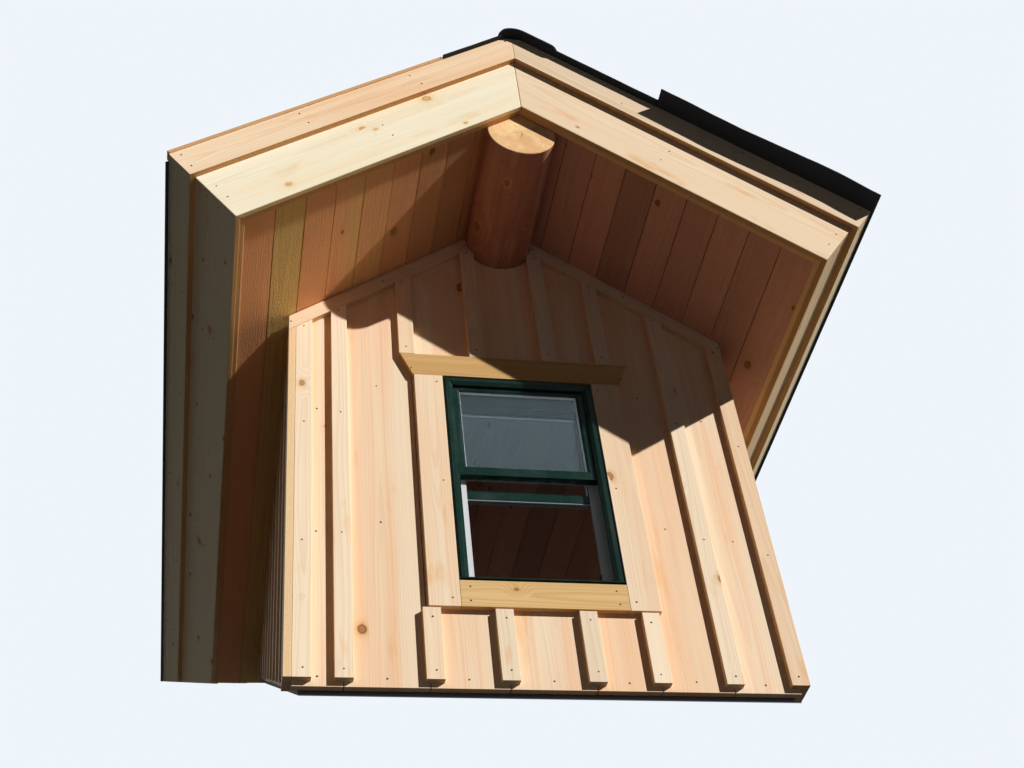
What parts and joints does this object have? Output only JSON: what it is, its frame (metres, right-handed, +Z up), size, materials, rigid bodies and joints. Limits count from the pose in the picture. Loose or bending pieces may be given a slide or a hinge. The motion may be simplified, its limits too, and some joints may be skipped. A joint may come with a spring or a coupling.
{
  "type": "dormer window",
  "caption": "Gabled roof dormer in board and batten with a log ridge beam, deep eaves, timber fascia and a green sash window with its lower sash raised.",
  "frame": {"origin": "on the slope of the main roof, at the middle of the front sill plate's bevelled underside", "axes": "+X to the right seen from the front, +Y level into the main roof, +Z up"},
  "size_m": [2.8408, 5.22, 2.9727],
  "materials": {
    "framing_lumber": "sawn softwood framing",
    "sheathing": "plywood",
    "felt": "black felt",
    "flashing": "dark folded metal",
    "wall_board": "planed softwood, unfinished",
    "trim_board": "planed softwood, unfinished",
    "rim_board": "planed softwood, unfinished",
    "ceiling_board": "rough sawn softwood",
    "log": "peeled log",
    "window_green": "dark green satin paint",
    "jamb_liner": "pale grey vinyl",
    "glass": "clear",
    "roofing": "black roofing sheet with fine grit"
  },
  "bodies": {
    "root": {"sill_plate": "framing_lumber", "cheek_sole_plates": "framing_lumber", "wall_studs": "framing_lumber", "top_plates": "framing_lumber", "window_framing": "framing_lumber", "front_sheathing": "sheathing", "cheek_sheathing": "sheathing", "wall_felt": "felt", "base_flashing": "flashing", "front_boards": "wall_board", "front_battens": "trim_board", "front_corner_boards": "trim_board", "side_corner_boards": "trim_board", "friezes": "trim_board", "left_cheek_boards": "wall_board", "right_cheek_boards": "wall_board", "cheek_battens": "trim_board", "window_frame": "window_green", "jamb_liners": "jamb_liner", "upper_sash": "window_green", "upper_glass": "glass", "lower_sash": "window_green", "lower_glass": "glass", "head_trim": "trim_board", "left_trim": "trim_board", "right_trim": "trim_board", "apron_trim": "trim_board", "ridge_log": "log", "ridge_board": "framing_lumber", "left_ceiling": "ceiling_board", "right_ceiling": "ceiling_board", "rafters": "framing_lumber", "purlins": "framing_lumber", "roof_deck": "sheathing", "left_rake_fascia": "rim_board", "right_rake_fascia": "rim_board", "left_rake_trim": "rim_board", "right_rake_trim": "rim_board", "eave_fascias": "rim_board", "eave_trims": "rim_board", "rim_backing": "framing_lumber", "left_roofing": "roofing", "right_roofing": "roofing", "ridge_cap": "roofing", "rake_strip": "rim_board"}
  },
  "joints": []
}
